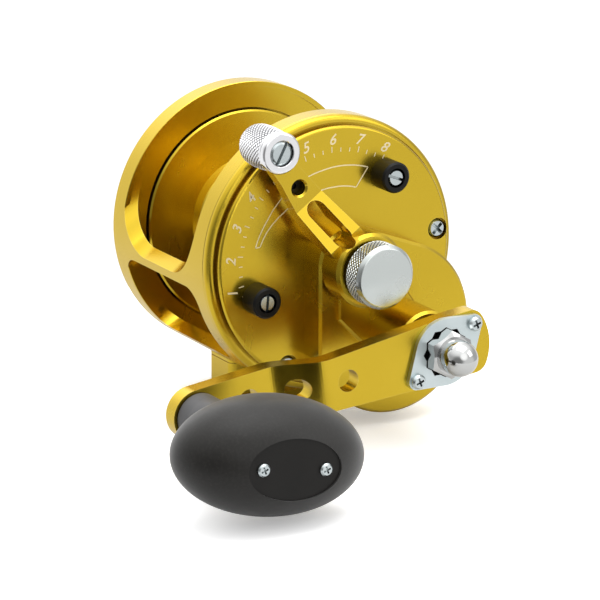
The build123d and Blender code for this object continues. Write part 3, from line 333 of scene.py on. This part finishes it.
# lighter colour painted on the gold's edges, partly wear and partly painted highlight
GOLD_WORN_EDGE_HIGHLIGHT = (0.92, 0.76, 0.22)


def gold(name, **extra):
    """Satin gold anodised aluminium."""
    return material(name, GOLD, GOLD_DARK, 1.0, 0.25, rough_spread=0.03, grain=2600.0, bump=0.06,
                    edge=GOLD_WORN_EDGE_HIGHLIGHT, coat=0.08, coat_rough=0.15, cloud=30.0, **extra)


# an edge colour among the options is a painted highlight on the edges, partly wear
FINISHES = {                    # colour, dark colour, metallic, roughness and options
    "etched_mark": ((0.84, 0.73, 0.47), (0.80, 0.68, 0.42), 0.35, 0.5, dict(bump=0.15)),
    "bridge_aluminium": ((0.62, 0.62, 0.63), (0.52, 0.52, 0.54), 1.0, 0.38, dict(bump=0.1)),
    "inner_steel": ((0.50, 0.51, 0.52), (0.40, 0.41, 0.42), 1.0, 0.28, dict(bump=0.1)),
    "bearing_steel": ((0.62, 0.63, 0.64), (0.52, 0.53, 0.55), 1.0, 0.22, dict(bump=0.05)),
    "brass_parts": ((0.72, 0.52, 0.20), (0.60, 0.42, 0.15), 1.0, 0.30, dict(bump=0.1)),
    "drag_fibre": ((0.03, 0.03, 0.03), (0.015, 0.015, 0.015), 0.0, 0.6,
                   dict(bump=0.4, speck=(0.07, 0.07, 0.07))),
    "zinc_screw": ((0.60, 0.66, 0.67), (0.48, 0.53, 0.54), 1.0, 0.25,
                   dict(bump=0.1, edge=(0.85, 0.88, 0.88))),
    "black_screw": ((0.03, 0.028, 0.025), (0.015, 0.014, 0.012), 1.0, 0.4, dict(bump=0.1)),
    "lock_plate_zinc": ((0.63, 0.70, 0.71), (0.55, 0.62, 0.63), 1.0, 0.36,
                        dict(bump=0.25, edge=(0.9, 0.93, 0.93), grain=1500.0)),
    "nut_chrome": ((0.56, 0.565, 0.56), (0.50, 0.505, 0.50), 1.0, 0.08,
                   dict(rough_spread=0.03, bump=0.04, edge=(0.92, 0.92, 0.93))),
    "lever_knob_chrome": ((0.84, 0.84, 0.85), (0.78, 0.78, 0.80), 1.0, 0.13,
                          dict(rough_spread=0.03, bump=0.04, groove_shade=0.9)),
    "preset_chrome": ((0.57, 0.605, 0.59), (0.54, 0.57, 0.56), 1.0, 0.24,
                      dict(bump=0.10, edge=(0.95, 0.95, 0.95), groove_shade=0.95)),
    "bumper_rubber": ((0.0030, 0.0030, 0.0028), (0.002, 0.002, 0.002), 0.0, 0.42,
                      dict(bump=0.3, specular=0.22)),
    "grip_rubber": ((0.0125, 0.0115, 0.0098), (0.0085, 0.0078, 0.0066), 0.0, 0.40,
                    dict(specular=0.22, rough_spread=0.05, bump=0.25, grain=1400.0,
                         speck=(0.022, 0.020, 0.018), sheen=0.20)),
    "neck_plastic": ((0.075, 0.075, 0.078), (0.055, 0.055, 0.058), 0.0, 0.5, dict(bump=0.1)),
    "cover_plastic": ((0.012, 0.011, 0.0098), (0.008, 0.0074, 0.0066), 0.0, 0.40,
                      dict(bump=0.1, specular=0.20)),
}
mats = {name: gold(name) for name in (
    "frame_gold", "arm_gold", "lever_gold", "foot_gold", "cap_gold", "spool_gold")}
# the side plate gets weaker painted shade in its gaps
mats["side_plate_gold"] = gold("side_plate_gold", crevice_dark=0.35)
for finish, (colour, dark, metallic, rough, options) in FINISHES.items():
    mats[finish] = material(finish, colour, dark, metallic, rough, **options)
node_slot = {entry["node"]: entry["material_slot"] for entry in frame["record"]["subparts"]}
SMOOTH_ANGLE = math.radians(32)


def smooth(mesh):
    """Smooth shading with sharp edges kept."""
    for polygon in mesh.polygons:
        polygon.use_smooth = True
    mesh.set_sharp_from_angle(angle=SMOOTH_ANGLE)


for node_name, node in nodes.items():
    node.data.materials.clear()
    node.data.materials.append(mats[node_slot[node_name]])


# ------------------------------------------------------------------------------------
# detailed pieces
# ------------------------------------------------------------------------------------
def add(name, verts, faces, body, slot_name, replaces=(), grooves=()):
    """New mesh piece in the frame, riding on a body; grooves is each vertex's depth in a cut, 0 to 1."""
    mesh = bpy.data.meshes.new(name)
    mesh.from_pydata(verts, [], faces)
    if grooves:
        mesh.attributes.new("groove", "FLOAT", "POINT").data.foreach_set("value", grooves)
    mesh.update()
    bm = bmesh.new()
    bm.from_mesh(mesh)
    bmesh.ops.remove_doubles(bm, verts=bm.verts, dist=1e-7)
    bmesh.ops.recalc_face_normals(bm, faces=bm.faces)
    bm.to_mesh(mesh)
    bm.free()
    smooth(mesh)
    mesh.materials.append(mats[slot_name])
    piece = bpy.data.objects.new(name, mesh)
    bpy.context.scene.collection.objects.link(piece)
    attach(piece, body)
    if replaces:
        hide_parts(*replaces)
    return piece


def lathe_grid(profile, y0, z0, segments, shape=None):
    """Closed turned body about an axis along X, from (x, r) points in mm; shape may cut into the radius.

    Gives its vertices, its faces and each vertex's share of the deepest cut.
    """
    verts, faces, cuts = [], [], []
    for i, (x, r) in enumerate(profile):
        for j in range(segments):
            a = 2 * math.pi * j / segments
            rr = shape(x, r, a) if shape else r
            verts.append((x * MM, y0 + rr * MM * math.cos(a), z0 + rr * MM * math.sin(a)))
            cuts.append(r - rr)
    for i in range(len(profile) - 1):
        for j in range(segments):
            k = (j + 1) % segments
            near, far = i * segments, (i + 1) * segments
            faces.append((near + j, near + k, far + k, far + j))
    faces.append(tuple(range(segments)))
    faces.append(tuple((len(profile) - 1) * segments + j for j in reversed(range(segments))))
    deepest = max(cuts) or 1.0
    return verts, faces, [cut / deepest for cut in cuts]


def fine(profile, step):
    """Profile points added so that no span is longer than step."""
    points = [profile[0]]
    for (x0, r0), (x1, r1) in zip(profile, profile[1:]):
        count = max(1, math.ceil(math.hypot(x1 - x0, r1 - r0) / step))
        for i in range(1, count + 1):
            points.append((x0 + (x1 - x0) * i / count, r0 + (r1 - r0) * i / count))
    return points


GROOVE_SHARE = 0.45             # share of the pitch that a V groove takes


def knurl(x_low, x_high, ridges, slope, depth, fade):
    """Diamond knurl: two crossing families of V grooves that fade out towards both ends."""
    def shape(x, r, a):
        if x <= x_low or x >= x_high:
            return r
        edge = min(1.0, (x - x_low) / fade, (x_high - x) / fade)
        u = ridges * a / (2 * math.pi)
        v = slope * (x - x_low)
        one = abs(((u + v) % 1.0) - 0.5) * 2
        two = abs(((u - v) % 1.0) - 0.5) * 2
        groove = max(0.0, max(one, two) - 1 + GROOVE_SHARE) / GROOVE_SHARE
        return r - depth * edge * groove
    return shape


# preset knob with a diamond knurled band
PRESET_SEGMENTS = 1080
PRESET_STEP = 0.09
low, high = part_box("preset_knob")
x0, x1 = low.x / MM, high.x / MM
R = (high.z - low.z) / 2 / MM
band = fine([(x0 + 0.7, R), (x1 - 1.1, R)], PRESET_STEP)
preset_profile = [(x0, 3.2), (x0, R - 0.7), (x0 + 0.35, R - 0.25)] + band + [
    (x1 - 0.85, R - 0.18), (x1 - 0.3, R - 0.62), (x1 - 0.08, R - 0.85), (x1, R - 1.05), (x1, 0.05)]
diamonds = knurl(x0 + 0.7, x1 - 1.1, ridges=46, slope=0.80, depth=0.42, fade=0.25)
verts, faces, cuts = lathe_grid(preset_profile, spool_axis.y, spool_axis.z, PRESET_SEGMENTS, diamonds)
add("preset_knob_knurled", verts, faces, "preset", "preset_chrome", ["preset_knob"], cuts)

# lever knob: knurled egg with a plain front ring
KNOB_SEGMENTS = 720
KNOB_STEP = 0.10
KNOB_BACK = ((0, 0.02), (0, 2.9), (0.08, 3.6), (0.3, 4.4))
KNOB_EGG = (
    (0.3, 4.4), (0.6, 4.85), (1.1, 5.28), (1.8, 5.56), (2.8, 5.72), (4.2, 5.8), (6.0, 5.8),
    (7.6, 5.78), (9.2, 5.68), (10.8, 5.52), (12.1, 5.36), (12.4, 5.30))
KNOB_RING = (                   # from the front face
    (2.38, 5.02), (2.02, 5.0), (1.96, 5.42), (1.8, 5.58), (0.55, 5.58), (0.3, 5.46),
    (0.12, 5.25), (0, 4.95), (0, 3.62), (0.12, 3.46), (1.4, 3.45), (1.4, 0.05))
low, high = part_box("lever_knob")
tip = (low + high) / 2
x0, x1 = low.x / MM, high.x / MM
knob_profile = [(x0 + dx, radius) for dx, radius in KNOB_BACK]
knob_profile += fine([(x0 + dx, radius) for dx, radius in KNOB_EGG], KNOB_STEP)[1:]
knob_profile += [(x1 - dx, radius) for dx, radius in KNOB_RING]
diamonds = knurl(x0 + 0.9, x1 - 2.9, ridges=30, slope=0.85, depth=0.36, fade=0.6)
verts, faces, cuts = lathe_grid(knob_profile, tip.y, tip.z, KNOB_SEGMENTS, diamonds)
add("lever_knob_knurled", verts, faces, "lever", "lever_knob_chrome", ["lever_knob"], cuts)

# ------------------------------------------------------------------------------------
# drag scale etched on the side plate: tapering wedge, ticks and numerals
# ------------------------------------------------------------------------------------
DISC_X = 32.0                   # face of the side plate's raised disc, mm
MARK_LOW = DISC_X - 0.02
MARK_HIGH = DISC_X + 0.03


def at(radius, angle):
    """(Y, Z) in mm, measured from the spool axis, of a point at an angle from +Y."""
    return radius * math.cos(math.radians(angle)), radius * math.sin(math.radians(angle))


def strip(path, width):
    """Flat closed band of one width along a path of (Y, Z) points in mm."""
    loops = []
    for i, (y, z) in enumerate(path):
        y0, z0 = path[max(0, i - 1)]
        y1, z1 = path[min(len(path) - 1, i + 1)]
        length = math.hypot(y1 - y0, z1 - z0)
        ny, nz = -(z1 - z0) / length * width / 2, (y1 - y0) / length * width / 2
        loops.append([(x, y + side * ny, z + side * nz)
                      for x, side in ((MARK_LOW, -1), (MARK_LOW, 1), (MARK_HIGH, 1), (MARK_HIGH, -1))])
    band_verts = [
        (x * MM, spool_axis.y + y * MM, spool_axis.z + z * MM) for loop in loops for x, y, z in loop]
    band_faces = [(0, 1, 2, 3), tuple(len(band_verts) - 4 + k for k in (3, 2, 1, 0))]
    for i in range(len(loops) - 1):
        for k in range(4):
            m = (k + 1) % 4
            band_faces.append((4 * i + k, 4 * i + m, 4 * i + 4 + m, 4 * i + 4 + k))
    return band_verts, band_faces


def arc_between(knots, step=2.0):
    """Path through (angle, radius) knots, the radius changing evenly between them."""
    path = []
    for (a0, r0), (a1, r1) in zip(knots, knots[1:]):
        count = max(1, round(abs(a1 - a0) / step))
        for i in range(count):
            t = i / count
            path.append(at(r0 + (r1 - r0) * t, a0 + (a1 - a0) * t))
    path.append(at(knots[-1][1], knots[-1][0]))
    return path


def merged(parts):
    """Several (verts, faces) lists as one."""
    all_verts, all_faces = [], []
    for part_verts, part_faces in parts:
        start = len(all_verts)
        all_verts += part_verts
        all_faces += [tuple(start + k for k in face) for face in part_faces]
    return all_verts, all_faces


WEDGE_OUTER = ((66.8, 25.3), (81, 24.8), (100, 24.3), (150, 24.3), (168, 25.1))
WEDGE_INNER = ((70.9, 19.2), (91, 19.0), (103, 19.1), (139, 21.1), (158, 23.1), (167, 23.75))
WEDGE_LINE = 0.32
TICK_COUNT = 26
TICK_FIRST = 60                 # degrees
TICK_STEP = 5.4
TICK_R = (28.5, 29.6)
TICK_LONGER = 0.5               # every third tick
TICK_LINE = 0.26

wedge_ends = [
    [at(radius, angle) for angle, radius in (WEDGE_OUTER[end], WEDGE_INNER[end])] for end in (0, -1)]
scale_parts = [strip(path, WEDGE_LINE)
               for path in (arc_between(WEDGE_OUTER), arc_between(WEDGE_INNER), *wedge_ends)]
for i in range(TICK_COUNT):
    angle = TICK_FIRST + TICK_STEP * i
    outer = TICK_R[1] + (TICK_LONGER if i % 3 == 0 else 0)
    scale_parts.append(strip([at(TICK_R[0], angle), at(outer, angle)], TICK_LINE))
verts, faces = merged(scale_parts)
add("scale_wedge", verts, faces, "housing", "side_plate_gold").data.materials[0] = mats["etched_mark"]

NUMERAL_R = 30.7
NUMERAL_HEIGHT = 4.1
NUMERAL_SLANT = 0.3
NUMERAL_WEIGHT = 0.05
NUMERAL_ANGLES = (192, 176, 160, 144, 107, 92, 77, 62)      # of 1 to 8
numeral_parts = []
for number, angle in enumerate(NUMERAL_ANGLES, start=1):
    curve = bpy.data.curves.new("numeral", "FONT")
    curve.body = str(number)
    curve.size = NUMERAL_HEIGHT
    curve.shear = NUMERAL_SLANT
    curve.offset = NUMERAL_WEIGHT
    curve.align_x = "CENTER"
    curve.resolution_u = 6
    text = bpy.data.objects.new("numeral", curve)
    bpy.context.scene.collection.objects.link(text)
    flat = bpy.data.meshes.new_from_object(text.evaluated_get(bpy.context.evaluated_depsgraph_get()))
    flat.name = "numeral_outline"
    bm = bmesh.new()
    bm.from_mesh(flat)
    bmesh.ops.remove_doubles(bm, verts=bm.verts, dist=1e-5)
    made = bmesh.ops.extrude_face_region(bm, geom=bm.faces[:])
    lifted = [item for item in made["geom"] if isinstance(item, bmesh.types.BMVert)]
    bmesh.ops.translate(bm, verts=lifted, vec=(0, 0, 1))
    bm.verts.index_update()
    oy, oz = at(1.0, angle)
    part_verts = []
    for vert in bm.verts:
        y = (NUMERAL_R + vert.co.y) * oy + vert.co.x * oz
        z = (NUMERAL_R + vert.co.y) * oz - vert.co.x * oy
        x = MARK_LOW + (MARK_HIGH - MARK_LOW) * vert.co.z
        part_verts.append((x * MM, spool_axis.y + y * MM, spool_axis.z + z * MM))
    numeral_parts.append((part_verts, [tuple(v.index for v in face.verts) for face in bm.faces]))
    bm.free()
    bpy.data.objects.remove(text)
    bpy.data.curves.remove(curve)
    bpy.data.meshes.remove(flat)
verts, faces = merged(numeral_parts)
add("scale_numerals", verts, faces, "housing", "side_plate_gold").data.materials[0] = mats["etched_mark"]

for node in nodes.values():
    smooth(node.data)
